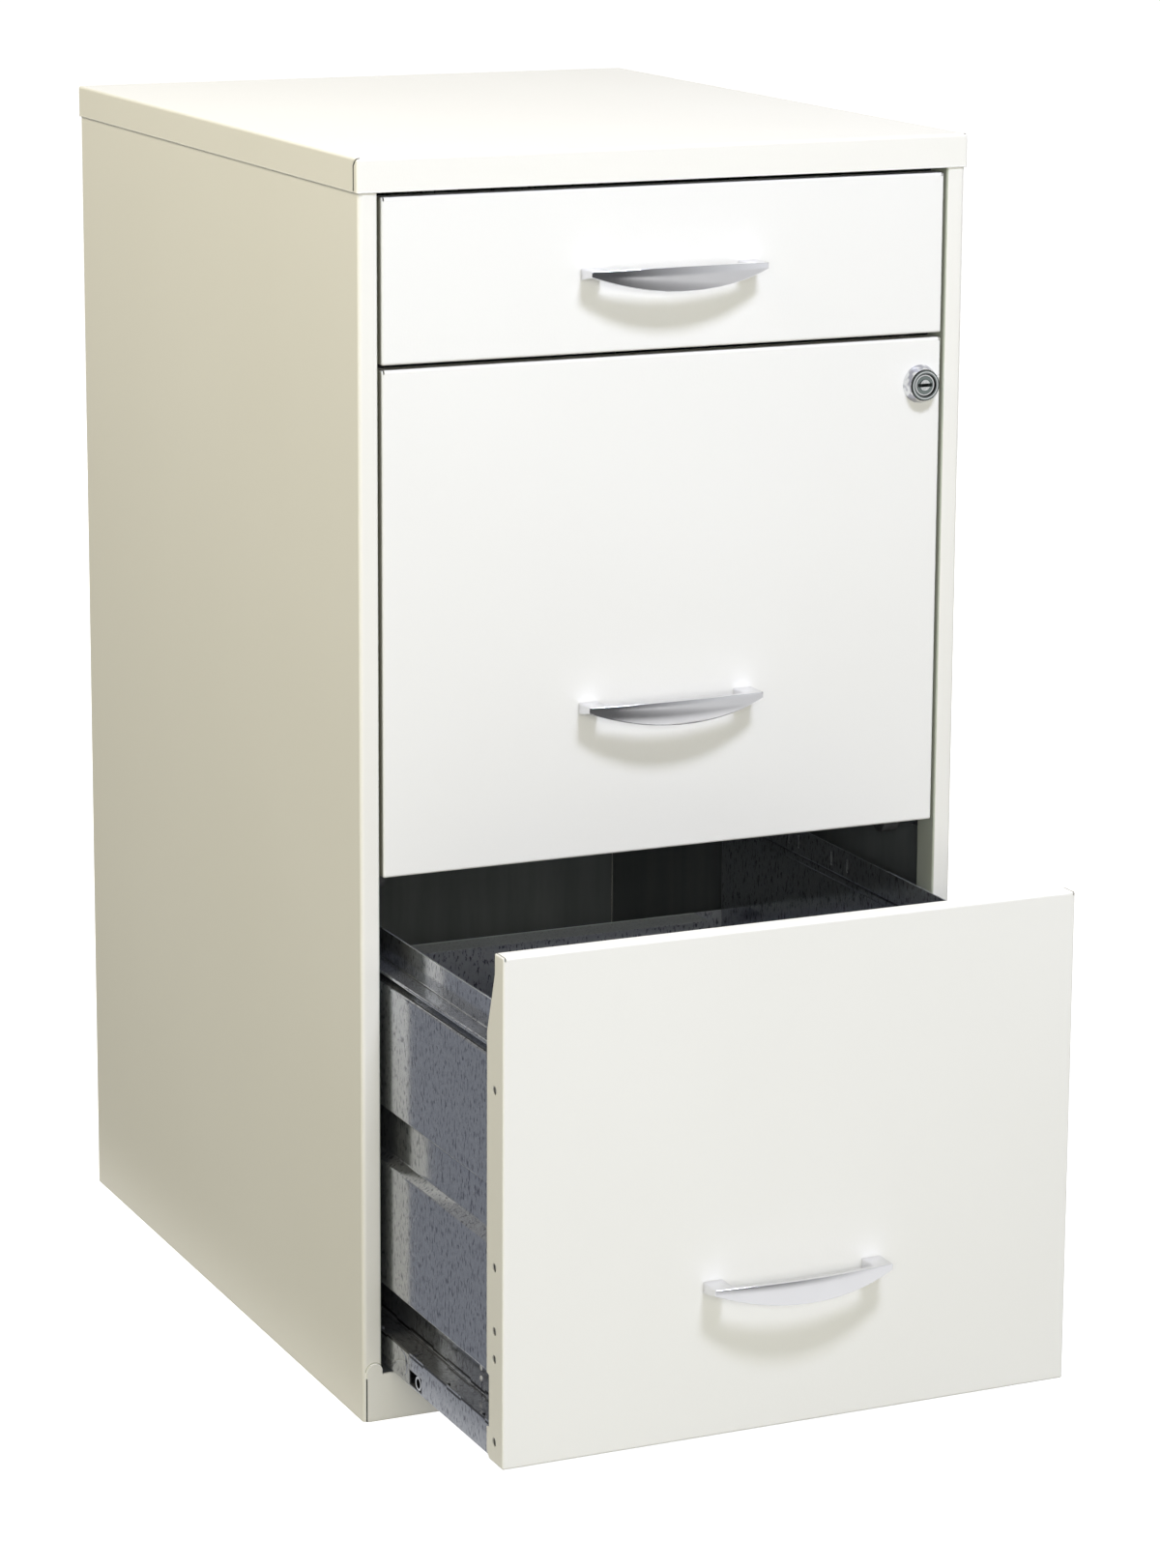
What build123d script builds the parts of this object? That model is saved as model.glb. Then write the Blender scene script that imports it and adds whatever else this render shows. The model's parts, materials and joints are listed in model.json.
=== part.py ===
from build123d import *

import os

os.makedirs("parts", exist_ok=True)

# Vertical filing cabinet: a folded steel case with one shallow drawer over two file
# drawers, a cam lock, bow handles and roller runners.
# Millimetres. The origin is on the floor under the middle of the case. +Z is up, +X is
# to the right as seen from the front, and the drawers pull out towards -Y.
# The bottom drawer is modelled part open and the other two are shut.

# Case
CAP_WIDTH = 362.0
CAP_DEPTH = 457.2
CAP_LIP = 18.4
CAP_EDGE_RADIUS = 1.6
CAP_SEAM = 0.4
CAP_SEAM_BACK = 5.0
KICK_HEIGHT = 26.9
KICK_EAR_HEIGHT = 33.0
KICK_EAR_RADIUS = 4.0
KICK_INSET = 2.0
STILE_WIDTH = 11.0
STILE_RETURN = 19.0
REAR_FLANGE = 14.0
TOP_FLANGE = 15.0
BASE_FLANGE = 12.0

# Sheet metal
SHEET = 0.8
BEND = 1.2
CORNER_BEND = 2.0
PLAY = 0.2
RUNNING_PLAY = 0.3
PIN_PLAY = 0.05

# Drawer fronts
FRONT_GAP = 2.7
FRONT_SIDE_GAP = 2.0
FILE_FRONT_HEIGHT = 275.3
TOP_FRONT_HEIGHT = 88.6
FRONT_FLANGE = 21.0
FRONT_EDGE_FLANGE = 11.0
FRONT_EDGE_RADIUS = 1.3
FRONT_CORNER_RADIUS = 1.0
FRONT_SLANT_START = 11.0
FRONT_SLANT_END = 44.0
FRONT_CORNER_SLIT = 0.7
FRONT_SLIT_DROP = 2.0
FRONT_FOOT_CHAMFER = 4.0
FRONT_NOTCH_DEPTH = 2.9
FRONT_NOTCH_BOTTOM = 17.1
FRONT_NOTCH_TOP = 47.0
FLANGE_HOLE_RADIUS = 2.35
FLANGE_HOLE_BACK = 11.2
FLANGE_HOLE_HEIGHTS = [11.7, 57.1, 72.3, 107.0, 202.4]

# Drawer bodies, heights above the lower edge of their front and drops below its top
DRAWER_REAR_GAP = 29.0
RAIL_RISE = 1.4
RAIL_HEIGHT = 18.6
RAIL_WIDTH = 15.5
GROOVE = 0.8
RECESS_DEPTH = 14.0
RECESS_TOP = 46.4
PANEL_STEP_DEPTH = 5.5
PANEL_STEP_LOW = 116.9
PANEL_STEP_SLOPE = 4.0
PANEL_STEP_HIGH = 148.4
PANEL_TOP_DROP = 56.9
LEDGE_DROP = 50.7
LEDGE_HEM = 1.5
LEDGE_GROOVE_DEPTH = 7.0
BAND_INSET = 10.1
FILE_WALL_DROP = 33.7
FILE_BACK_DROP = 115.9
TOP_WALL_DROP = 26.6
TOP_WALL_HEM = 5.0
TOP_BACK_DROP = 38.6
BACK_FLANGE = 20.0
BACK_FLANGE_CLEAR = 9.0
BAND_SLOTS = [239.0, 259.0, 301.0, 314.0]
BAND_SLOT_WIDTH = 1.4
BAND_SLOT_RISE = 4.6
BAND_SLOT_HEIGHT = 7.6

# Rail details, distances behind the front of the drawer
CRIMP_START = 31.6
CRIMP_PITCH = 47.0
CRIMP_COUNT = 8
CRIMP_LENGTH = 6.0
CRIMP_REACH = 2.0
WINDOW_START = 112.6
WINDOW_LENGTH = 17.0
WINDOW_HEIGHT = 8.4
SPACER_BACK = 118.0
SPACER_RADIUS = 4.0
SPACER_BORE = 2.7
EMBOSS_BACK = 140.0
EMBOSS_RADIUS = 7.0
EMBOSS_RISE = 0.3

# Runners and rollers
RUNNER_FRONT_GAP = 3.0
RUNNER_FLANGE_CLEAR = 2.5
REAR_ROLLER_RADIUS = 8.0
REAR_ROLLER_WIDTH = 7.8
REAR_ROLLER_INSET = 13.0
REAR_AXLE_RADIUS = 2.5
FRONT_ROLLER_RADIUS = 8.0
FRONT_ROLLER_WIDTH = 10.0
FRONT_ROLLER_BACK = 37.6
FRONT_AXLE_RADIUS = 3.0
COLLAR = 1.5
HEAD_THICKNESS = 1.0
REAR_AXLE_HEAD = 0.6
ROLLER_EDGE = 0.6
EAR_MARGIN = 7.0
STOP_TAB = 1.2
STOP_TAB_WIDTH = 6.4
STOP_TAB_HEIGHT = 6.0

# Movement
TRAVEL = 300.0
BOTTOM_DRAWER_OPEN = 162.0

# Handles
HANDLE_TIP_X = 52.4
HANDLE_CENTRES = 96.0
HANDLE_TIP_PROUD = 14.5
HANDLE_MIDDLE_PROUD = 22.0
HANDLE_BAR = 3.4
HANDLE_TIP_HEIGHT = 3.3
HANDLE_ARCH = 1.1
HANDLE_BELLY = 9.0
HANDLE_CROWN_RADIUS = 40.0
HANDLE_EDGE_RADIUS = 0.5
HANDLE_LEG_WIDTH = 11.2
HANDLE_LEG_ROOT = 6.2
FILE_HANDLE_HEIGHT = 85.0
SCREW_RADIUS = 1.6
SCREW_DEPTH = 6.0
SCREW_DROP = 1.2
SCREW_HEAD_RADIUS = 4.0
SCREW_HEAD = 2.2
SCREW_SLOT = 1.0
SCREW_SLOT_DEPTH = 0.9

# Lock
LOCK_EDGE = 12.5
LOCK_DROP = 25.5
LOCK_BASE_RADIUS = 10.7
LOCK_FACE_RADIUS = 8.5
LOCK_PROUD = 6.5
LOCK_BARREL_RADIUS = 8.0
LOCK_LENGTH = 20.6
LOCK_PLUG_RADIUS = 6.5
LOCK_RECESS = 1.0
LOCK_NUT_ACROSS = 20.0
LOCK_NUT_THICKNESS = 3.0
KEY_SLOT_LENGTH = 9.3
KEY_SLOT_HEIGHT = 1.9
KEY_SLOT_DEPTH = 9.0
PLUG_BOSS_RADIUS = 3.0
PLUG_BOSS_RISE = 0.6
CAM_LENGTH = 17.0
CAM_WIDTH = 9.0
CAM_THICKNESS = 1.6
CAM_TAIL_RADIUS = 3.0
CAM_SCREW_RADIUS = 3.6
CAM_SCREW_HEAD = 2.0
LOCK_NOTCH_DEPTH = 8.0
LOCK_NOTCH_LENGTH = 24.0

# Places that follow from the sizes above
side_x = CAP_WIDTH / 2 - SHEET - PLAY
case_y = CAP_DEPTH / 2 - SHEET - PLAY
opening_top = KICK_HEIGHT + 4 * FRONT_GAP + 2 * FILE_FRONT_HEIGHT + TOP_FRONT_HEIGHT
case_top = opening_top + CAP_LIP
panel_top = case_top - SHEET
panel_inner_x = side_x - SHEET
stile_inner_x = side_x - STILE_WIDTH
stile_rear_y = -case_y + STILE_RETURN
back_inner_y = case_y - 2 * SHEET
front_x = stile_inner_x - FRONT_SIDE_GAP
wall_x = front_x - SHEET - PLAY
wall_mid_x = wall_x - SHEET / 2
recess_mid_x = wall_mid_x - RECESS_DEPTH
step_mid_x = wall_mid_x - PANEL_STEP_DEPTH
band_mid_x = wall_mid_x - BAND_INSET
ledge_mid_x = wall_x - SHEET - GROOVE
rail_inner_x = wall_x - RAIL_WIDTH
floor_bottom = RAIL_RISE + RAIL_HEIGHT - 2 * SHEET - HEAD_THICKNESS
floor_top = floor_bottom + SHEET
foot_height = floor_top + SHEET / 2
ledge_height = FILE_FRONT_HEIGHT - LEDGE_DROP
panel_height = FILE_FRONT_HEIGHT - PANEL_TOP_DROP
file_wall_height = FILE_FRONT_HEIGHT - FILE_WALL_DROP
top_wall_height = TOP_FRONT_HEIGHT - TOP_WALL_DROP
drawer_rear_y = case_y - DRAWER_REAR_GAP - SHEET - PLAY
web_x = panel_inner_x - SHEET
runner_front_y = stile_rear_y + RUNNER_FRONT_GAP
runner_flange_x = wall_x + RUNNER_FLANGE_CLEAR
rear_roller_y = drawer_rear_y - REAR_ROLLER_INSET
rear_roller_rise = RAIL_RISE + RAIL_HEIGHT / 2
rear_roller_x = web_x - HEAD_THICKNESS - RUNNING_PLAY - REAR_ROLLER_WIDTH
runner_floor = rear_roller_rise - REAR_ROLLER_RADIUS - RUNNING_PLAY
runner_roof = rear_roller_rise + REAR_ROLLER_RADIUS + 2 * RUNNING_PLAY
front_roller_y = -case_y + FRONT_ROLLER_BACK
front_roller_rise = RAIL_RISE - RUNNING_PLAY - FRONT_ROLLER_RADIUS
front_roller_x = rail_inner_x + (RAIL_WIDTH - FRONT_ROLLER_WIDTH) / 2

# Each drawer by name: height of its front's lower edge, height of its front, how far it
# stands open, and the height of its handle above the lower edge
bottom_base = KICK_HEIGHT + FRONT_GAP
middle_base = bottom_base + FILE_FRONT_HEIGHT + FRONT_GAP
top_base = middle_base + FILE_FRONT_HEIGHT + FRONT_GAP
DRAWERS = {
    "bottom": (bottom_base, FILE_FRONT_HEIGHT, BOTTOM_DRAWER_OPEN, FILE_HANDLE_HEIGHT),
    "middle": (middle_base, FILE_FRONT_HEIGHT, 0.0, FILE_HANDLE_HEIGHT),
    "top": (top_base, TOP_FRONT_HEIGHT, 0.0, TOP_FRONT_HEIGHT / 2),
}
lock_x = front_x - LOCK_EDGE
lock_z = middle_base + FILE_FRONT_HEIGHT - LOCK_DROP


def save(part, label):
    """Label a finished piece and write it as the file of that name."""
    part.label = label
    export_step(part, f"parts/{label}.step")


def save_with_mirror(left, label):
    """Write a left-hand piece and its right-hand mirror image."""
    with BuildPart() as right:
        mirror(left.part, about=Plane.YZ)
    save(left.part, f"{label}_left")
    save(right.part, f"{label}_right")


def save_pair(left, label):
    """Write a left-hand piece and its mirror image as one node of two solids."""
    with BuildPart() as pair:
        add(left.part)
        mirror(left.part, about=Plane.YZ)
    save(pair.part, label)


def folded_sheet(plane, points, radii, length):
    """A sheet folded along points, which run down the middle of its thickness."""
    with BuildPart() as sheet:
        with BuildSketch(plane):
            with BuildLine():
                FilletPolyline(*points, radius=radii)
            trace(line_width=SHEET)
        extrude(amount=length)
    return sheet


def turned_part(y, z, steps, bore=0.0):
    """A part turned about a line along X; steps are (x from, x to, radius)."""
    with BuildPart() as turned:
        for x_from, x_to, radius in steps:
            with BuildSketch(Plane.YZ.offset(x_from)):
                with Locations((y, z)):
                    Circle(radius)
            extrude(amount=x_to - x_from)
        if bore:
            with BuildSketch(Plane.YZ.offset(steps[0][0])):
                with Locations((y, z)):
                    Circle(bore)
            extrude(amount=steps[-1][1] - steps[0][0], mode=Mode.SUBTRACT)
    return turned


def block(x_from, x_to, y_from, y_to, z_from, z_to, mode=Mode.ADD):
    """A square-cornered block between two corners, inside the part being built."""
    middle = ((x_from + x_to) / 2, (y_from + y_to) / 2, (z_from + z_to) / 2)
    with Locations(middle):
        Box(x_to - x_from, y_to - y_from, z_to - z_from, mode=mode)


# Side panels: stile, front corner, side and rear flange in one folded sheet, with a top
# flange that carries the cap
stile_points = [
    (-stile_inner_x - SHEET / 2, stile_rear_y),
    (-stile_inner_x - SHEET / 2, -case_y + SHEET / 2),
    (-side_x + SHEET / 2, -case_y + SHEET / 2),
    (-side_x + SHEET / 2, case_y - SHEET / 2),
    (-side_x + REAR_FLANGE, case_y - SHEET / 2),
]
side_fold = folded_sheet(Plane.XY, stile_points, [BEND, CORNER_BEND, BEND], panel_top)
with BuildPart() as side_panel:
    add(side_fold.part)
    block(
        -panel_inner_x, -side_x + TOP_FLANGE, -case_y + SHEET, back_inner_y,
        panel_top - SHEET, panel_top,
    )
save_with_mirror(side_panel, "side_panel")

# Back panel: lies inside the rear flanges of the side panels, clear of their bends
back_half = panel_inner_x - BEND
with BuildPart() as back_panel:
    block(-back_half, back_half, back_inner_y, back_inner_y + SHEET, 0, panel_top)
save(back_panel.part, "back_panel")

# Top cap: a shallow lid whose front lip wraps round the front corners to a seam
with BuildPart() as top_cap:
    with BuildSketch(Plane.XY.offset(opening_top)):
        Rectangle(CAP_WIDTH, CAP_DEPTH)
    extrude(amount=CAP_LIP)
    fillet(top_cap.edges().filter_by(Axis.Z), radius=CAP_EDGE_RADIUS)
    fillet(top_cap.faces().sort_by(Axis.Z)[-1].edges(), radius=CAP_EDGE_RADIUS)
    with BuildSketch(Plane.XY.offset(opening_top)):
        Rectangle(CAP_WIDTH - 2 * SHEET, CAP_DEPTH - 2 * SHEET)
    extrude(amount=CAP_LIP - SHEET, mode=Mode.SUBTRACT)
    seam_y = -CAP_DEPTH / 2 + CAP_SEAM_BACK
    for lip_x in (-CAP_WIDTH / 2, CAP_WIDTH / 2 - SHEET):
        block(
            lip_x, lip_x + SHEET, seam_y, seam_y + CAP_SEAM, opening_top,
            case_top - CAP_EDGE_RADIUS, mode=Mode.SUBTRACT,
        )
save(top_cap.part, "top_cap")

# Kick plate: a flush strip under the bottom drawer, with a rounded ear over each stile
# and a flange turned back along its top and bottom
kick_half = side_x - KICK_INSET
flange_half = stile_inner_x - PLAY
ear_width = kick_half - stile_inner_x
with BuildPart() as kick_plate:
    with BuildSketch(Plane.XZ.offset(case_y)) as kick_face:
        with Locations((0, KICK_HEIGHT / 2)):
            Rectangle(2 * kick_half, KICK_HEIGHT)
        with Locations(
            (-kick_half + ear_width / 2, KICK_EAR_HEIGHT / 2),
            (kick_half - ear_width / 2, KICK_EAR_HEIGHT / 2),
        ):
            Rectangle(ear_width, KICK_EAR_HEIGHT)
        fillet(kick_face.vertices().group_by(Axis.Y)[-1], radius=KICK_EAR_RADIUS)
    extrude(amount=SHEET)
    for flange_bottom in (0, KICK_HEIGHT - SHEET):
        block(
            -flange_half, flange_half, -case_y, stile_rear_y, flange_bottom,
            flange_bottom + SHEET,
        )
save(kick_plate.part, "kick_plate")

# Base pan: closes the bottom of the case between the kick plate and the back panel
with BuildPart() as base_pan:
    block(
        -panel_inner_x, panel_inner_x, stile_rear_y + PLAY, back_inner_y, 0, SHEET
    )
    for flange_x in (-panel_inner_x, panel_inner_x - SHEET):
        block(
            flange_x, flange_x + SHEET, stile_rear_y + PLAY, back_inner_y, 0, BASE_FLANGE
        )
    block(
        -panel_inner_x, panel_inner_x, back_inner_y - SHEET, back_inner_y, 0, BASE_FLANGE
    )
save(base_pan.part, "base_pan")


# Bow handle: a leaf-shaped bar, bowed outwards and slightly crowned, on two flat legs
def make_handle(name, face_y, centre_z):
    tip_y = face_y - HANDLE_TIP_PROUD
    middle_y = face_y - HANDLE_MIDDLE_PROUD
    tip_top = centre_z + HANDLE_TIP_HEIGHT / 2
    tip_bottom = centre_z - HANDLE_TIP_HEIGHT / 2
    bar_top = tip_top + HANDLE_ARCH
    bar_bottom = tip_bottom - HANDLE_BELLY
    bow = HANDLE_MIDDLE_PROUD - HANDLE_TIP_PROUD
    bow_radius = (HANDLE_TIP_X**2 + bow**2) / (2 * bow)
    bow_axis = Axis((0, middle_y + bow_radius, 0), (0, 0, 1))
    half_height = (bar_top - bar_bottom) / 2
    crown = HANDLE_CROWN_RADIUS - (HANDLE_CROWN_RADIUS**2 - half_height**2) ** 0.5
    with BuildPart() as handle:
        with BuildSketch(Plane.YZ):
            with BuildLine():
                front_arc = ThreePointArc(
                    (middle_y + crown, bar_top), (middle_y, bar_top - half_height),
                    (middle_y + crown, bar_bottom),
                )
                back_arc = ThreePointArc(
                    (middle_y + crown + HANDLE_BAR, bar_top),
                    (middle_y + HANDLE_BAR, bar_top - half_height),
                    (middle_y + crown + HANDLE_BAR, bar_bottom),
                )
                Line(front_arc @ 0, back_arc @ 0)
                Line(front_arc @ 1, back_arc @ 1)
            make_face()
        revolve(axis=bow_axis)
        with BuildSketch(Plane.XZ.offset(-face_y)):
            with BuildLine():
                top_arc = ThreePointArc(
                    (-HANDLE_TIP_X, tip_top), (0, bar_top), (HANDLE_TIP_X, tip_top)
                )
                belly_arc = ThreePointArc(
                    (-HANDLE_TIP_X, tip_bottom), (0, bar_bottom),
                    (HANDLE_TIP_X, tip_bottom),
                )
                Line(top_arc @ 0, belly_arc @ 0)
                Line(top_arc @ 1, belly_arc @ 1)
            make_face()
        extrude(amount=2 * HANDLE_MIDDLE_PROUD, mode=Mode.INTERSECT)
        fillet(handle.edges(), radius=HANDLE_EDGE_RADIUS)
        for leg_x in (-HANDLE_TIP_X, HANDLE_TIP_X - HANDLE_LEG_WIDTH):
            with BuildSketch(Plane.YZ.offset(leg_x)):
                with BuildLine():
                    Polyline(
                        (face_y, tip_top),
                        (tip_y + PLAY, tip_top),
                        (tip_y + PLAY, tip_bottom),
                        (face_y, tip_top - HANDLE_LEG_ROOT),
                        close=True,
                    )
                make_face()
            extrude(amount=HANDLE_LEG_WIDTH)
        with BuildSketch(Plane.XZ.offset(-face_y)):
            with Locations(*handle_hole_places(centre_z)):
                Circle(SCREW_RADIUS + PIN_PLAY)
        extrude(amount=SCREW_DEPTH + PLAY, mode=Mode.SUBTRACT)
    save(handle.part, f"{name}_drawer_handle")


def handle_hole_places(centre_z):
    """Where the handle screws stand, as seen from the front."""
    screw_z = centre_z - SCREW_DROP
    return [(-HANDLE_CENTRES / 2, screw_z), (HANDLE_CENTRES / 2, screw_z)]


# Handle screws: pan heads inside the drawer front, shanks up into the legs
def make_handle_screws(name, face_y, centre_z):
    inside_y = face_y + SHEET
    places = handle_hole_places(centre_z)
    with BuildPart() as screws:
        with BuildSketch(Plane.XZ.offset(-inside_y - SCREW_HEAD)):
            with Locations(*places):
                Circle(SCREW_HEAD_RADIUS)
        extrude(amount=SCREW_HEAD)
        with BuildSketch(Plane.XZ.offset(-inside_y)):
            with Locations(*places):
                Circle(SCREW_RADIUS)
        extrude(amount=SHEET + SCREW_DEPTH)
        with BuildSketch(Plane.XZ.offset(-inside_y - SCREW_HEAD)):
            with Locations(*places):
                Rectangle(SCREW_HEAD_RADIUS, SCREW_SLOT)
                Rectangle(SCREW_SLOT, SCREW_HEAD_RADIUS)
        extrude(amount=SCREW_SLOT_DEPTH, mode=Mode.SUBTRACT)
    save(screws.part, f"{name}_drawer_handle_screws")


# Drawer front: a pan with side flanges cut back at the top, narrow top and bottom
# flanges, a slit at each top corner and holes for the handle and the lock
def make_front(name, face_y, base_z, height, handle_z):
    top_z = base_z + height
    rear_y = face_y + FRONT_FLANGE
    edge_y = face_y + FRONT_EDGE_FLANGE
    inside_x = front_x - SHEET
    slant_end = min(FRONT_SLANT_END, height / 2)
    with BuildPart() as front:
        with BuildSketch(Plane.XZ.offset(-face_y)):
            with Locations((0, base_z + height / 2)):
                Rectangle(2 * front_x, height)
        extrude(amount=-FRONT_FLANGE)
        fillet(front.edges().filter_by(Axis.Y), radius=FRONT_CORNER_RADIUS)
        fillet(front.faces().sort_by(Axis.Y)[0].edges(), radius=FRONT_EDGE_RADIUS)
        with BuildSketch(Plane.XZ.offset(-rear_y)):
            with Locations((0, base_z + height / 2)):
                Rectangle(2 * inside_x, height - 2 * SHEET)
        extrude(amount=FRONT_FLANGE - SHEET, mode=Mode.SUBTRACT)
        with BuildSketch(Plane.YZ.offset(-front_x)):
            with BuildLine():
                Polyline(
                    (edge_y, top_z),
                    (edge_y, top_z - FRONT_SLANT_START),
                    (rear_y, top_z - slant_end),
                    (rear_y, top_z),
                    close=True,
                )
            make_face()
            with BuildLine():
                Polyline(
                    (edge_y, base_z),
                    (rear_y - FRONT_FOOT_CHAMFER, base_z),
                    (rear_y, base_z + FRONT_FOOT_CHAMFER),
                    (rear_y, base_z),
                    close=True,
                )
            make_face()
            with BuildLine():
                Polyline(
                    (rear_y, base_z + FRONT_NOTCH_BOTTOM),
                    (rear_y - FRONT_NOTCH_DEPTH, base_z + FRONT_NOTCH_BOTTOM + SHEET),
                    (rear_y - FRONT_NOTCH_DEPTH, base_z + FRONT_NOTCH_TOP - SHEET),
                    (rear_y, base_z + FRONT_NOTCH_TOP),
                    close=True,
                )
            make_face()
        extrude(amount=2 * front_x, mode=Mode.SUBTRACT)
        block(
            -inside_x, inside_x, edge_y, rear_y, base_z, base_z + SHEET,
            mode=Mode.SUBTRACT,
        )
        for slit_x in (-inside_x, inside_x - FRONT_CORNER_SLIT):
            block(
                slit_x, slit_x + FRONT_CORNER_SLIT, face_y, edge_y,
                top_z - FRONT_SLIT_DROP, top_z, mode=Mode.SUBTRACT,
            )
        with BuildSketch(Plane.YZ.offset(-front_x)):
            low_holes = [rise for rise in FLANGE_HOLE_HEIGHTS if rise < height - slant_end]
            with Locations(*[(face_y + FLANGE_HOLE_BACK, base_z + h) for h in low_holes]):
                Circle(FLANGE_HOLE_RADIUS)
        extrude(amount=2 * front_x, mode=Mode.SUBTRACT)
        with BuildSketch(Plane.XZ.offset(-face_y - SHEET)):
            with Locations(*handle_hole_places(handle_z)):
                Circle(SCREW_RADIUS + PLAY)
        extrude(amount=SHEET, mode=Mode.SUBTRACT)
        if name == "middle":
            with BuildSketch(Plane.XZ.offset(-face_y - SHEET)):
                with Locations((lock_x, lock_z)):
                    Circle(LOCK_BARREL_RADIUS + PIN_PLAY)
            extrude(amount=SHEET, mode=Mode.SUBTRACT)
    save(front.part, f"{name}_drawer_front")


# File drawer side: from the top, the hanger band, its hemmed ledge over a groove, the
# upper panel, a shallow recess, the lower panel, and a deep recess down to the foot
def file_side_points(base_z):
    hem_z = base_z + ledge_height - LEDGE_HEM
    groove_x = wall_mid_x - LEDGE_GROOVE_DEPTH
    return [
        (-band_mid_x, base_z + file_wall_height),
        (-band_mid_x, base_z + ledge_height),
        (-wall_mid_x, base_z + ledge_height),
        (-wall_mid_x, hem_z),
        (-groove_x, hem_z),
        (-groove_x, base_z + panel_height),
        (-wall_mid_x, base_z + panel_height),
        (-wall_mid_x, base_z + PANEL_STEP_HIGH),
        (-step_mid_x, base_z + PANEL_STEP_HIGH),
        (-step_mid_x, base_z + PANEL_STEP_LOW + PANEL_STEP_SLOPE),
        (-wall_mid_x, base_z + PANEL_STEP_LOW),
        *foot_points(base_z),
    ]


def foot_points(base_z):
    """The lower end of every drawer side: the deep recess and the foot on the floor."""
    return [
        (-wall_mid_x, base_z + RECESS_TOP),
        (-recess_mid_x, base_z + RECESS_TOP),
        (-recess_mid_x, base_z + foot_height),
        (-ledge_mid_x, base_z + foot_height),
    ]


def make_sides(name, face_y, base_z, shift):
    front_end = face_y + SHEET
    rear_end = drawer_rear_y + shift
    plane = Plane.XZ.offset(-rear_end)
    length = rear_end - front_end
    hem_bend = LEDGE_HEM / 2 - PIN_PLAY
    if name == "top":
        wall_top = base_z + top_wall_height
        points = [(-wall_mid_x + TOP_WALL_HEM, wall_top), (-wall_mid_x, wall_top)]
        points += foot_points(base_z)
        radii = [BEND] * 4
    else:
        points = file_side_points(base_z)
        radii = [BEND, hem_bend, hem_bend, BEND, BEND, BEND] + [BEND] * 7
    fold = folded_sheet(plane, points, radii, length)
    with BuildPart() as side:
        add(fold.part)
        if name != "top":
            wall_top = base_z + file_wall_height
            slot_z = base_z + ledge_height + BAND_SLOT_RISE
            block(
                -wall_x, 0, front_end, front_end + LOCK_NOTCH_LENGTH,
                wall_top - LOCK_NOTCH_DEPTH, wall_top, mode=Mode.SUBTRACT,
            )
            for slot_back in BAND_SLOTS:
                slot_y = face_y + slot_back
                block(
                    -wall_x, 0, slot_y, slot_y + BAND_SLOT_WIDTH, slot_z,
                    slot_z + BAND_SLOT_HEIGHT, mode=Mode.SUBTRACT,
                )
    save_with_mirror(side, f"{name}_drawer_side")


# Drawer floor and low back, the back's top edge folded forwards into a flange
def make_floor_and_back(name, face_y, base_z, front_height, shift):
    rear_y = drawer_rear_y + shift
    back_height = front_height - (TOP_BACK_DROP if name == "top" else FILE_BACK_DROP)
    flange_x = band_mid_x - BACK_FLANGE_CLEAR
    with BuildPart() as floor:
        block(
            -ledge_mid_x, ledge_mid_x, face_y + SHEET, rear_y,
            base_z + floor_bottom, base_z + floor_top,
        )
    save(floor.part, f"{name}_drawer_floor")
    with BuildPart() as back:
        block(
            -wall_x, wall_x, rear_y, rear_y + SHEET,
            base_z + RAIL_RISE, base_z + back_height,
        )
        block(
            -flange_x, flange_x, rear_y - BACK_FLANGE, rear_y + SHEET,
            base_z + back_height - SHEET, base_z + back_height,
        )
    save(back.part, f"{name}_drawer_back")


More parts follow.
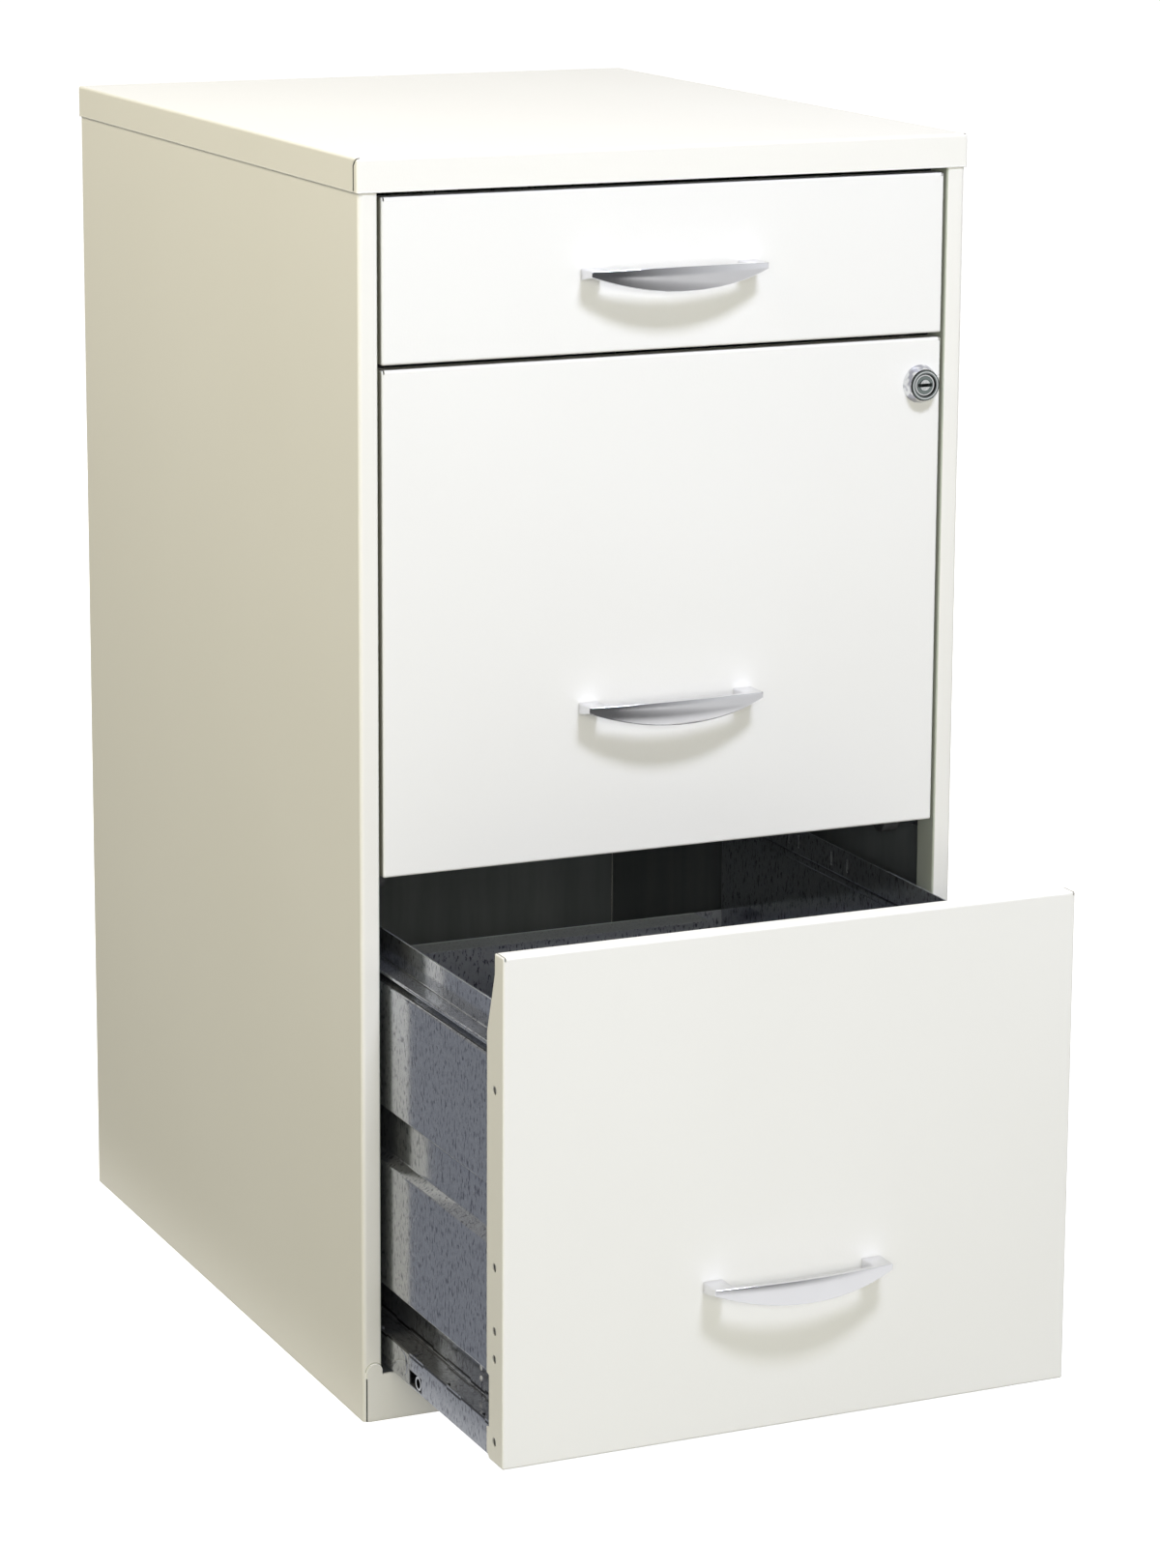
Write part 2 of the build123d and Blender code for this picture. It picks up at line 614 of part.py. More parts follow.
# Drawer rail: a channel along each bottom edge. Its outer leg stands flush with the side
# and is crimped over the foot of the side; a window shows the spacer tube inside it.
def make_rails(name, face_y, base_z, shift):
    rear_end = drawer_rear_y + shift
    length = rear_end - face_y - SHEET
    rail_z = base_z + RAIL_RISE
    leg_top = rail_z + RAIL_HEIGHT
    foot_top = base_z + foot_height + SHEET / 2
    leg_x = wall_x - SHEET
    roller_z = base_z + rear_roller_rise
    with BuildPart() as rail:
        with BuildSketch(Plane.XZ.offset(-rear_end)):
            with BuildLine():
                Polyline(
                    (-wall_x, leg_top),
                    (-wall_x, rail_z),
                    (-rail_inner_x, rail_z),
                    (-rail_inner_x, base_z + floor_bottom),
                    (-rail_inner_x - SHEET, base_z + floor_bottom),
                    (-rail_inner_x - SHEET, rail_z + SHEET),
                    (-leg_x, rail_z + SHEET),
                    (-leg_x, leg_top),
                    close=True,
                )
            make_face()
        extrude(amount=length)
        for number in range(CRIMP_COUNT):
            crimp_y = face_y + CRIMP_START + number * CRIMP_PITCH
            block(
                -leg_x, -leg_x + CRIMP_REACH, crimp_y, crimp_y + CRIMP_LENGTH,
                foot_top, leg_top,
            )
        with BuildSketch(Plane.YZ.offset(-wall_x - EMBOSS_RISE)):
            with Locations((face_y + EMBOSS_BACK, roller_z)):
                Circle(EMBOSS_RADIUS)
        extrude(amount=EMBOSS_RISE)
        window_y = face_y + WINDOW_START
        block(
            -wall_x, -leg_x, window_y, window_y + WINDOW_LENGTH,
            rail_z + SHEET, rail_z + SHEET + WINDOW_HEIGHT, mode=Mode.SUBTRACT,
        )
        with BuildSketch(Plane.YZ.offset(-wall_x)):
            with Locations((rear_roller_y + shift, roller_z)):
                Circle(REAR_AXLE_RADIUS + PIN_PLAY)
        extrude(amount=SHEET, mode=Mode.SUBTRACT)
    save_with_mirror(rail, f"{name}_drawer_rail")
    spacer_z = rail_z + SHEET + SPACER_RADIUS
    spacer_steps = [(-wall_x + SHEET / 2, -rail_inner_x - SHEET, SPACER_RADIUS)]
    spacer = turned_part(face_y + SPACER_BACK, spacer_z, spacer_steps, SPACER_BORE)
    save_pair(spacer, f"{name}_drawer_rail_spacers")


# Rear axle and roller of a drawer: the axle is headed over inside the rail's outer leg
def make_rear_rollers(name, base_z, shift):
    y = rear_roller_y + shift
    z = base_z + rear_roller_rise
    roller_end = rear_roller_x + REAR_ROLLER_WIDTH
    collar_end = rear_roller_x - PLAY
    leg_x = wall_x - SHEET
    head_x = -roller_end - PLAY
    head_radius = REAR_AXLE_RADIUS + COLLAR
    axle_steps = [
        (head_x - REAR_AXLE_HEAD, head_x, head_radius),
        (head_x, -collar_end, REAR_AXLE_RADIUS),
        (-collar_end, -wall_x, head_radius),
        (-wall_x, -leg_x, REAR_AXLE_RADIUS),
        (-leg_x, -leg_x + HEAD_THICKNESS, head_radius),
    ]
    save_pair(turned_part(y, z, axle_steps), f"{name}_drawer_rear_axles")
    roller = make_roller(
        y, z, -roller_end, REAR_ROLLER_WIDTH, REAR_ROLLER_RADIUS, REAR_AXLE_RADIUS
    )
    save_pair(roller, f"{name}_drawer_rear_rollers")


def make_roller(y, z, x_from, width, radius, axle_radius):
    """A moulded roller with eased rims, bored to run on its axle."""
    with BuildPart() as roller:
        with BuildSketch(Plane.YZ.offset(x_from)):
            with Locations((y, z)):
                Circle(radius)
        extrude(amount=width)
        chamfer(roller.edges(), length=ROLLER_EDGE)
        with BuildSketch(Plane.YZ.offset(x_from)):
            with Locations((y, z)):
                Circle(axle_radius + PIN_PLAY)
        extrude(amount=width, mode=Mode.SUBTRACT)
    return roller


# Case runner: a channel on the side panel for the drawer's rear roller, with a stop tab
# at each end of its travel and an ear below for the front roller's axle
def make_runners(name, base_z):
    floor_z = base_z + runner_floor
    roof_z = base_z + runner_roof
    ear_z = base_z + front_roller_rise
    length = back_inner_y - PLAY - runner_front_y
    points = [
        (-runner_flange_x, floor_z - SHEET / 2),
        (-web_x - SHEET / 2, floor_z - SHEET / 2),
        (-web_x - SHEET / 2, roof_z + SHEET / 2),
        (-runner_flange_x, roof_z + SHEET / 2),
    ]
    channel = folded_sheet(
        Plane.XZ.offset(-(runner_front_y + length)), points, BEND, length
    )
    front_stop_y = rear_roller_y - TRAVEL - REAR_ROLLER_RADIUS - RUNNING_PLAY - STOP_TAB
    rear_stop_y = rear_roller_y + REAR_ROLLER_RADIUS + RUNNING_PLAY
    with BuildPart() as runner:
        add(channel.part)
        block(
            -web_x - SHEET, -web_x, front_roller_y - EAR_MARGIN, front_roller_y + EAR_MARGIN,
            ear_z - EAR_MARGIN, floor_z + SHEET,
        )
        for stop_y in (front_stop_y, rear_stop_y):
            block(
                -web_x, -web_x + STOP_TAB_WIDTH, stop_y, stop_y + STOP_TAB,
                floor_z, floor_z + STOP_TAB_HEIGHT,
            )
        with BuildSketch(Plane.YZ.offset(-web_x - SHEET)):
            with Locations((front_roller_y, ear_z)):
                Circle(FRONT_AXLE_RADIUS + PIN_PLAY)
        extrude(amount=SHEET, mode=Mode.SUBTRACT)
    save_with_mirror(runner, f"{name}_runner")


# Front axles and rollers: each axle is headed into its runner's ear and reaches in under
# the drawer's rail, which rolls on the roller
def make_front_rollers(name, base_z):
    z = base_z + front_roller_rise
    roller_end = front_roller_x + FRONT_ROLLER_WIDTH
    axle_steps = [
        (-web_x - SHEET, -web_x, FRONT_AXLE_RADIUS),
        (-web_x, -roller_end - PLAY, FRONT_AXLE_RADIUS + COLLAR),
        (-roller_end - PLAY, -front_roller_x + PLAY, FRONT_AXLE_RADIUS),
        (
            -front_roller_x + PLAY, -front_roller_x + PLAY + HEAD_THICKNESS,
            FRONT_AXLE_RADIUS + COLLAR,
        ),
    ]
    save_pair(turned_part(front_roller_y, z, axle_steps), f"{name}_front_axles")
    roller = make_roller(
        front_roller_y, z, -roller_end, FRONT_ROLLER_WIDTH, FRONT_ROLLER_RADIUS,
        FRONT_AXLE_RADIUS,
    )
    save_pair(roller, f"{name}_front_rollers")


for drawer_name, (base, height, opened, handle_rise) in DRAWERS.items():
    face = -case_y - opened
    make_front(drawer_name, face, base, height, base + handle_rise)
    make_handle(drawer_name, face, base + handle_rise)
    make_handle_screws(drawer_name, face, base + handle_rise)
    make_sides(drawer_name, face, base, -opened)
    make_floor_and_back(drawer_name, face, base, height, -opened)
    make_rails(drawer_name, face, base, -opened)
    make_rear_rollers(drawer_name, base, -opened)
    make_runners(drawer_name, base)
    make_front_rollers(drawer_name, base)

# Lock in the middle drawer's front. Distances along the lock are measured from the face
# of the drawer front, positive towards the inside.
lock_plane = Plane(origin=(lock_x, -case_y, lock_z), x_dir=(1, 0, 0), z_dir=(0, 1, 0))
barrel_end = LOCK_LENGTH
plug_end = barrel_end + SHEET
plug_face = -LOCK_PROUD + LOCK_RECESS
plug_fit = LOCK_PLUG_RADIUS - PIN_PLAY

# Housing: a tapered rim outside and a round barrel through the drawer front
with BuildPart() as lock_housing:
    with BuildSketch(lock_plane.offset(-LOCK_PROUD)):
        Circle(LOCK_FACE_RADIUS)
    with BuildSketch(lock_plane):
        Circle(LOCK_BASE_RADIUS)
    loft()
    with BuildSketch(lock_plane):
        Circle(LOCK_BARREL_RADIUS)
    extrude(amount=barrel_end)
    with BuildSketch(lock_plane.offset(-LOCK_PROUD)):
        Circle(LOCK_PLUG_RADIUS)
    extrude(amount=LOCK_PROUD + barrel_end, mode=Mode.SUBTRACT)
save(lock_housing.part, "lock_housing")

# Nut: clamps the housing from inside the drawer front
with BuildPart() as lock_nut:
    with BuildSketch(lock_plane.offset(SHEET)):
        RegularPolygon(LOCK_NUT_ACROSS / 2, 6, major_radius=False, rotation=30)
        Circle(LOCK_BARREL_RADIUS + PIN_PLAY, mode=Mode.SUBTRACT)
    extrude(amount=LOCK_NUT_THICKNESS)
save(lock_nut.part, "lock_nut")

# Plug: turns in the housing, with a key slot across a raised boss and a tail for the cam
with BuildPart() as lock_plug:
    with BuildSketch(lock_plane.offset(plug_face)):
        Circle(plug_fit)
    extrude(amount=plug_end - plug_face)
    with BuildSketch(lock_plane.offset(plug_face - PLUG_BOSS_RISE)):
        Circle(PLUG_BOSS_RADIUS)
    extrude(amount=PLUG_BOSS_RISE)
    with BuildSketch(lock_plane.offset(plug_end)):
        Circle(CAM_TAIL_RADIUS)
    extrude(amount=CAM_THICKNESS)
    with BuildSketch(lock_plane.offset(plug_face - PLUG_BOSS_RISE)):
        Rectangle(KEY_SLOT_LENGTH, KEY_SLOT_HEIGHT)
    extrude(amount=KEY_SLOT_DEPTH, mode=Mode.SUBTRACT)
save(lock_plug.part, "lock_plug")

# Cam: a flat tongue, up when unlocked, that turns behind the right-hand stile
with BuildPart() as lock_cam:
    with BuildSketch(lock_plane.offset(plug_end)):
        with Locations((0, -CAM_LENGTH / 2)):
            SlotOverall(CAM_LENGTH + CAM_WIDTH, CAM_WIDTH, rotation=90)
        Circle(CAM_TAIL_RADIUS, mode=Mode.SUBTRACT)
    extrude(amount=CAM_THICKNESS)
save(lock_cam.part, "lock_cam")

# Cam screw: holds the cam on the plug's tail
with BuildPart() as cam_screw:
    with BuildSketch(lock_plane.offset(plug_end + CAM_THICKNESS)):
        Circle(CAM_SCREW_RADIUS)
    extrude(amount=CAM_SCREW_HEAD)
    with BuildSketch(lock_plane.offset(plug_end + CAM_THICKNESS + CAM_SCREW_HEAD)):
        Rectangle(2 * CAM_SCREW_RADIUS, SCREW_SLOT)
    extrude(amount=-SCREW_SLOT_DEPTH, mode=Mode.SUBTRACT)
save(cam_screw.part, "cam_screw")
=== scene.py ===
import json
import math

import bmesh
import bpy
from mathutils import Matrix, Vector


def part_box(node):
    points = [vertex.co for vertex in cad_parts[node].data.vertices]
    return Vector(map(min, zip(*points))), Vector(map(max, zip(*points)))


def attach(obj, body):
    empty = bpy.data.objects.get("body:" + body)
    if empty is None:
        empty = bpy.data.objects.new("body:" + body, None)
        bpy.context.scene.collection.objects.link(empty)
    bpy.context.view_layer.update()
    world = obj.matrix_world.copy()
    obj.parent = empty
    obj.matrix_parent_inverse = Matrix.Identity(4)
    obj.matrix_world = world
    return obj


# Looks of the filing cabinet. Metres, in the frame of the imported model.
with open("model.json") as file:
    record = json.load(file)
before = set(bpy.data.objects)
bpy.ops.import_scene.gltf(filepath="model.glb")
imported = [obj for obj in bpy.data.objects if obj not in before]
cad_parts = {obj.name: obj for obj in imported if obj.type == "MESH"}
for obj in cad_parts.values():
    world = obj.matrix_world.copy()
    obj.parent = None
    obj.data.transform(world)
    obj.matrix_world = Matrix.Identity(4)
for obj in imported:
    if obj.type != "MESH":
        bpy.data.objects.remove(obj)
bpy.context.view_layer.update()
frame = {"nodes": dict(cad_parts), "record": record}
scene = bpy.context.scene
nodes = frame["nodes"]
scene.view_settings.view_transform = "Standard"


# Camera, at the photograph's viewing angle. Angles in radians; the focal length, the
# long side and the centre in pixels of the 1200 x 1622 frame.
CAMERA_PLACE = Vector((-1.0714, -2.4735, 0.9469))
CAMERA_YAW = 0.42614
CAMERA_PITCH = 0.20441
CAMERA_ROLL = 0.00519
FOCAL_PIXELS = 4808.6
LONG_SIDE = 1622.0
CENTRE_ROW = 650.0
SENSOR_WIDTH = 36.0
CLIP_NEAR, CLIP_FAR = 0.05, 100.0


def place_camera():
    """The camera, turned by its yaw and pitch and then rolled about its own axis."""
    data = bpy.data.cameras.new("camera")
    camera = bpy.data.objects.new("camera", data)
    scene.collection.objects.link(camera)
    cos_yaw, sin_yaw = math.cos(CAMERA_YAW), math.sin(CAMERA_YAW)
    cos_pitch, sin_pitch = math.cos(CAMERA_PITCH), math.sin(CAMERA_PITCH)
    cos_roll, sin_roll = math.cos(CAMERA_ROLL), math.sin(CAMERA_ROLL)
    ahead = Vector((sin_yaw * cos_pitch, cos_yaw * cos_pitch, -sin_pitch))
    level = Vector((cos_yaw, -sin_yaw, 0.0))
    upright = level.cross(ahead)
    across = cos_roll * level + sin_roll * upright
    above = -sin_roll * level + cos_roll * upright
    turn = Matrix((across, above, -ahead)).transposed()
    camera.matrix_world = Matrix.Translation(CAMERA_PLACE) @ turn.to_4x4()
    data.sensor_width = SENSOR_WIDTH
    data.lens = FOCAL_PIXELS / LONG_SIDE * SENSOR_WIDTH
    data.shift_y = -(LONG_SIDE / 2 - CENTRE_ROW) / LONG_SIDE
    data.clip_start, data.clip_end = CLIP_NEAR, CLIP_FAR
    scene.camera = camera


place_camera()


# Node helpers
BLACK, FULL_WHITE = (0.0, 0.0, 0.0), (1.0, 1.0, 1.0)
MIX_ONE, MIX_TWO, MIX_RESULT = 6, 7, 2      # a Mix node's sockets for colours
BEVEL_SAMPLES, CREVICE_SAMPLES = 4, 6


class Nodes:
    """A node tree with short ways to add and join nodes. Masks are 0 or 1."""

    def __init__(self, tree, coordinates):
        self.tree = tree
        self.place = self.add("ShaderNodeTexCoord").outputs[coordinates]

    def add(self, kind, **settings):
        node = self.tree.nodes.new(kind)
        for key, value in settings.items():
            setattr(node, key, value)
        return node

    def feed(self, source, socket):
        self.tree.links.new(source, socket)

    def give(self, value, socket):
        """Set a socket from a number, a colour or another node's output."""
        if isinstance(value, tuple):
            socket.default_value = (*value, 1.0)
        elif isinstance(value, (int, float)):
            socket.default_value = value
        else:
            self.feed(value, socket)

    def split(self):
        """The x, y and z of the place."""
        node = self.add("ShaderNodeSeparateXYZ")
        self.feed(self.place, node.inputs[0])
        return node.outputs

    def span(self, value, low, high, from_low=0.0, from_high=1.0):
        """Map a value from the range given last to the range from low to high, and hold
        it there at both ends."""
        node = self.add("ShaderNodeMapRange")
        node.inputs["From Min"].default_value = from_low
        node.inputs["From Max"].default_value = from_high
        node.inputs["To Min"].default_value = low
        node.inputs["To Max"].default_value = high
        self.feed(value, node.inputs["Value"])
        return node.outputs["Result"]

    def blend(self, factor, one, two):
        """A colour between two, each a colour or another node's output."""
        node = self.add("ShaderNodeMix", data_type="RGBA")
        self.give(factor, node.inputs["Factor"])
        self.give(one, node.inputs[MIX_ONE])
        self.give(two, node.inputs[MIX_TWO])
        return node.outputs[MIX_RESULT]

    def maths(self, operation, one, two=0.0):
        node = self.add("ShaderNodeMath", operation=operation)
        self.give(one, node.inputs[0])
        self.give(two, node.inputs[1])
        return node.outputs[0]

    def less(self, one, two):
        return self.maths("SUBTRACT", one, two)

    def times(self, first, *others):
        """A product. Of masks: 1 where all of them are 1."""
        for other in others:
            first = self.maths("MULTIPLY", first, other)
        return first

    def most(self, first, *others):
        """The largest value. Of masks: 1 where any of them is 1."""
        for other in others:
            first = self.maths("MAXIMUM", first, other)
        return first

    def over(self, value, limit):
        return self.maths("GREATER_THAN", value, limit)

    def under(self, value, limit):
        return self.maths("LESS_THAN", value, limit)

    def near(self, value, middle, reach):
        """1 where the value is within the reach of the middle."""
        return self.under(self.maths("ABSOLUTE", self.less(value, middle)), reach)

    def vector(self, **parts):
        """A vector from some of X, Y and Z."""
        node = self.add("ShaderNodeCombineXYZ")
        for axis, value in parts.items():
            self.feed(value, node.inputs[axis])
        return node.outputs[0]

    def vector_maths(self, operation, result, one, two=None):
        node = self.add("ShaderNodeVectorMath", operation=operation)
        self.feed(one, node.inputs[0])
        if two is not None:
            self.feed(two, node.inputs[1])
        return node.outputs[result]

    def radius(self, x, z, middle_x, middle_z):
        """The distance from a point in the x-z plane."""
        offset = self.vector(X=self.less(x, middle_x), Z=self.less(z, middle_z))
        return self.vector_maths("LENGTH", "Value", offset)

    def emission(self, colour, strength=1.0):
        node = self.add("ShaderNodeEmission")
        self.give(colour, node.inputs["Color"])
        self.give(strength, node.inputs["Strength"])
        return node.outputs[0]


class Shader(Nodes):
    """A material's node tree. Scales are in cells to the metre."""

    def __init__(self, name):
        self.material = bpy.data.materials.new(name)
        self.material.use_nodes = True
        super().__init__(self.material.node_tree, "Object")
        self.surface = self.tree.nodes["Principled BSDF"]

    def output(self, shader):
        self.feed(shader, self.tree.nodes["Material Output"].inputs["Surface"])

    def noise(self, scale, detail=3.0, stretch=None, roughness=0.5):
        """Noise between 0 and 1."""
        where = self.place
        if stretch:
            mapping = self.add("ShaderNodeMapping")
            mapping.inputs["Scale"].default_value = stretch
            self.feed(self.place, mapping.inputs["Vector"])
            where = mapping.outputs["Vector"]
        node = self.add("ShaderNodeTexNoise")
        node.inputs["Scale"].default_value = scale
        node.inputs["Detail"].default_value = detail
        node.inputs["Roughness"].default_value = roughness
        self.feed(where, node.inputs["Vector"])
        return node.outputs["Fac"]

    def cells(self, scale):
        """The random values of a Voronoi pattern's cells, two for each cell."""
        node = self.add("ShaderNodeTexVoronoi", feature="F1")
        node.inputs["Scale"].default_value = scale
        self.feed(self.place, node.inputs["Vector"])
        parts = self.add("ShaderNodeSeparateColor")
        self.feed(node.outputs["Color"], parts.inputs["Color"])
        return parts.outputs["Red"], parts.outputs["Green"]

    def bump(self, height, distance, strength, round_off=0.0, normal=None):
        """Relief from a height, over edges rounded to the eye by a small radius, or over
        another normal."""
        node = self.add("ShaderNodeBump")
        node.inputs["Distance"].default_value = distance
        node.inputs["Strength"].default_value = strength
        self.feed(height, node.inputs["Height"])
        if round_off:
            normal = self.rounded(round_off)
        if normal is not None:
            self.feed(normal, node.inputs["Normal"])
        self.feed(node.outputs["Normal"], self.surface.inputs["Normal"])

    def rounded(self, radius):
        """The normal with sharp edges rounded."""
        node = self.add("ShaderNodeBevel", samples=BEVEL_SAMPLES)
        node.inputs["Radius"].default_value = radius
        return node.outputs["Normal"]

    def flat(self):
        """The normal of the mesh."""
        return self.add("ShaderNodeNewGeometry").outputs["Normal"]

    def edges(self, radius):
        """Near 1 on sharp edges, 0 on flat faces."""
        dot = self.vector_maths("DOT_PRODUCT", "Value", self.rounded(radius), self.flat())
        return self.span(dot, 1.0, 0.0, 0.86, 1.0)

    def crevices(self, reach):
        """0 on open faces, towards 1 in gaps narrower than the reach."""
        node = self.add("ShaderNodeAmbientOcclusion", samples=CREVICE_SAMPLES)
        node.inputs["Distance"].default_value = reach
        return self.span(node.outputs["AO"], 1.0, 0.0, 0.1, 0.55)

    def within(self, low, high):
        """1 inside a box given by two corners, 0 outside it."""
        masks = []
        for value, least, greatest in zip(self.split(), low, high):
            masks += [self.over(value, least), self.under(value, greatest)]
        return self.times(*masks)

    def set(self, **values):
        for key, value in values.items():
            self.surface.inputs[key.replace("_", " ")].default_value = value


# Powder coat
WHITE, WHITE_SHADE = (0.87, 0.867, 0.848), (0.855, 0.851, 0.83)
IVORY, IVORY_SHADE = (0.865, 0.856, 0.815), (0.85, 0.84, 0.795)
# painted highlight on the paint's bends
BEND_HIGHLIGHT, BEND_RADIUS, BEND_STRENGTH = (0.95, 0.95, 0.93), 0.0006, 0.7
# painted shade in gaps and creases
CREVICE_SHADE, CREVICE_REACH = (0.17, 0.15, 0.075), 0.005
# painted shade on the stiles' returns in the opening
RETURN_SHADE = (0.52, 0.55, 0.46)
BACKING, BACKING_PALE = (0.145, 0.16, 0.165), (0.19, 0.205, 0.21)
CLOUD_SCALE, SPECK_SCALE, STREAK_SCALE = 5.0, 420.0, 45.0
GLOSS_SCALE, PEEL_SCALE = 260.0, 1100.0
DOWNWARD = (1.0, 1.0, 0.1)                  # stretches a pattern into upright streaks
PEEL_DEPTH, PEEL_STRENGTH, SOFT_EDGE = 0.00012, 0.35, 0.0009
PAINT_ROUGH, COAT, COAT_ROUGH = (0.27, 0.37), 0.15, 0.12


def paint(name, colour, shade, inside, returns=None, marks=None):
    """Satin powder coat: faint mottling and orange peel, painted highlights on bends and
    painted shade in crevices.
    Inside the first box given are the sheets' backs, with only a thin grey backing coat.
    Faces in the box of the returns are painted too, with painted shade that makes them duller
    and greener than the outside."""
    s = Shader(name)
    cloud = s.noise(CLOUD_SCALE, detail=2.0)
    body = s.blend(s.span(cloud, 0.0, 1.0, 0.3, 0.7), colour, shade)
    speck = s.noise(SPECK_SCALE, detail=1.0)
    body = s.blend(s.span(speck, 0.0, 0.05, 0.45, 0.75), body, shade)
    # painted highlight: sharp bends are lightened as if they catch the light
    bend_highlight = s.times(s.edges(BEND_RADIUS), BEND_STRENGTH)
    body = s.blend(bend_highlight, body, BEND_HIGHLIGHT)
    # painted shade: narrow gaps and creases are darkened towards olive
    body = s.blend(s.crevices(CREVICE_REACH), body, CREVICE_SHADE)
    if marks:
        body = marks(s, body)
    bare = s.within(*inside)
    if returns:
        shaded_returns = s.within(*returns)
        bare = s.less(bare, shaded_returns)
        # painted shade: the returns are darkened and greened
        body = s.blend(shaded_returns, body, RETURN_SHADE)
    streaks = s.noise(STREAK_SCALE, detail=5.0, stretch=DOWNWARD, roughness=0.65)
    backing = s.blend(s.span(streaks, 0.0, 1.0, 0.35, 0.65), BACKING, BACKING_PALE)
    s.feed(s.blend(bare, body, backing), s.surface.inputs["Base Color"])
    rough = s.span(s.noise(GLOSS_SCALE, detail=2.0), *PAINT_ROUGH)
    s.feed(rough, s.surface.inputs["Roughness"])
    peel = s.noise(PEEL_SCALE, detail=2.0)
    s.bump(peel, PEEL_DEPTH, PEEL_STRENGTH, round_off=SOFT_EDGE)
    s.set(Coat_Weight=COAT, Coat_Roughness=COAT_ROUGH)
    return s.material


# Where the backs of the painted sheets begin
BACK_DEPTH = 0.0007                         # just under the sheet's thickness
FLANGE_SKIN = 0.002                         # the fronts' flanges are painted inside too
RETURN_REACH, RETURN_SPARE = 0.0195, 0.001  # how far back the returns reach, and to spare
STILE_GAP = 0.002                           # from a drawer front to the stile
FAR_DOWN, FAR_BACK = -1.0, 1.0              # the boxes' open ends


def case_inside():
    """The space that the backs of the case's sheets face, and the stiles' painted
    returns in it, as two boxes."""
    panel_low, panel_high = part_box("side_panel_left")
    back_low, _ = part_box("back_panel")
    side, front = panel_low.x + BACK_DEPTH, panel_low.y + BACK_DEPTH
    low = (side, front, FAR_DOWN)
    high = (-side, back_low.y + BACK_DEPTH, panel_high.z + BACK_DEPTH)
    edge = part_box("middle_drawer_front")[0].x - STILE_GAP - BACK_DEPTH
    kick_top, cap_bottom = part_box("kick_plate")[1].z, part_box("top_cap")[0].z
    returns_low = (edge, panel_low.y - RETURN_SPARE, kick_top)
    returns_high = (-edge, panel_low.y + RETURN_REACH, cap_bottom)
    return (low, high), (returns_low, returns_high)


def front_inside(name):
    """The space inside a drawer front's flanges, as a box open at the back."""
    low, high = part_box(name)
    inner_low = (low.x + FLANGE_SKIN, low.y + BACK_DEPTH, low.z + FLANGE_SKIN)
    inner_high = (high.x - FLANGE_SKIN, high.y + FAR_BACK, high.z - FLANGE_SKIN)
    return inner_low, inner_high


# Fine lines in the case's paint: dark seams, and painted highlights and a painted shadow along
# edges
SEAM_COLOUR, HEM_HIGHLIGHT = (0.02, 0.02, 0.015), (0.96, 0.96, 0.94)
HEM_HEIGHT, HEM_SKIN, HEM_STRENGTH = 0.0009, 0.0005, 0.7
SLIT_BACK, SLIT_DROP = 0.0052, 0.0042       # where the slit across a corner turns
SLIT_HALF, SLOPE_HALF = 0.0007, 0.0008
SLIT_FOOT, SLOPE_WIDTH = 0.0010, 0.0022     # its start above the lip's foot, its length on top
SEAM_HALF, SEAM_OUT, SEAM_TOP, FACE_SKIN = 0.00022, 0.0001, 0.008, 0.0012
EAR_MIDDLE, EAR_RADIUS, RING_HALF = 0.1735, 0.0044, 0.0003
EAR_SHADE_AND_HIGHLIGHT = (                               # how far out each ring lies, and its colour: a painted shadow outside, a painted highlight on the edge
    (0.0006, (0.50, 0.50, 0.42)),
    (0.0, (0.98, 0.98, 0.96)),
)


def cap_marks(s, body):
    """A painted highlight on the hem under the cap's lip, and the slit across each front
    corner.
    """
    x, y, z = s.split()
    out = s.maths("ABSOLUTE", x)
    low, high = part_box("top_cap")
    slit_y, turn_z = low.y + SLIT_BACK, high.z - SLIT_DROP
    outside = s.most(s.over(out, high.x - HEM_SKIN), s.under(y, low.y + HEM_SKIN))
    hem = s.times(s.under(z, low.z + HEM_HEIGHT), s.over(z, low.z - HEM_SKIN))
    # painted highlight along the hem
    body = s.blend(s.times(hem, outside, HEM_STRENGTH), body, HEM_HIGHLIGHT)
    slope = s.maths("ADD", s.less(z, turn_z), s.less(y, slit_y))
    corner = s.times(
        s.over(z, turn_z), s.under(y, slit_y + SLOPE_HALF), s.over(out, high.x - SLOPE_WIDTH)
    )
    slanted = s.times(s.near(slope, 0.0, SLOPE_HALF), corner)
    upright = s.times(
        s.near(y, slit_y, SLIT_HALF), s.over(z, low.z + SLIT_FOOT), s.under(z, turn_z)
    )
    return s.blend(s.most(slanted, upright), body, SEAM_COLOUR)


def kick_marks(s, body):
    """The dark seam beside the kick plate, and round its ears a painted highlight along the
    arched edge with a faint painted shadow outside it."""
    x, y, z = s.split()
    out = s.maths("ABSOLUTE", x)
    low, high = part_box("kick_plate")
    front = s.under(y, low.y + FACE_SKIN)
    seam = s.near(out, high.x + SEAM_OUT, SEAM_HALF)
    seam = s.times(seam, s.under(z, high.z - SEAM_TOP), front)
    body = s.blend(seam, body, SEAM_COLOUR)
    ear_z = high.z - EAR_RADIUS
    reach = s.radius(out, z, EAR_MIDDLE, ear_z)
    arch = s.times(front, s.over(z, ear_z))
    # painted shadow and painted highlight round the ears
    for further, colour in EAR_SHADE_AND_HIGHLIGHT:
        ring = s.times(s.near(reach, EAR_RADIUS + further, RING_HALF), arch)
        body = s.blend(ring, body, colour)
    return body


def case_marks(s, body):
    """All the fine lines of the case."""
    return kick_marks(s, cap_marks(s, body))


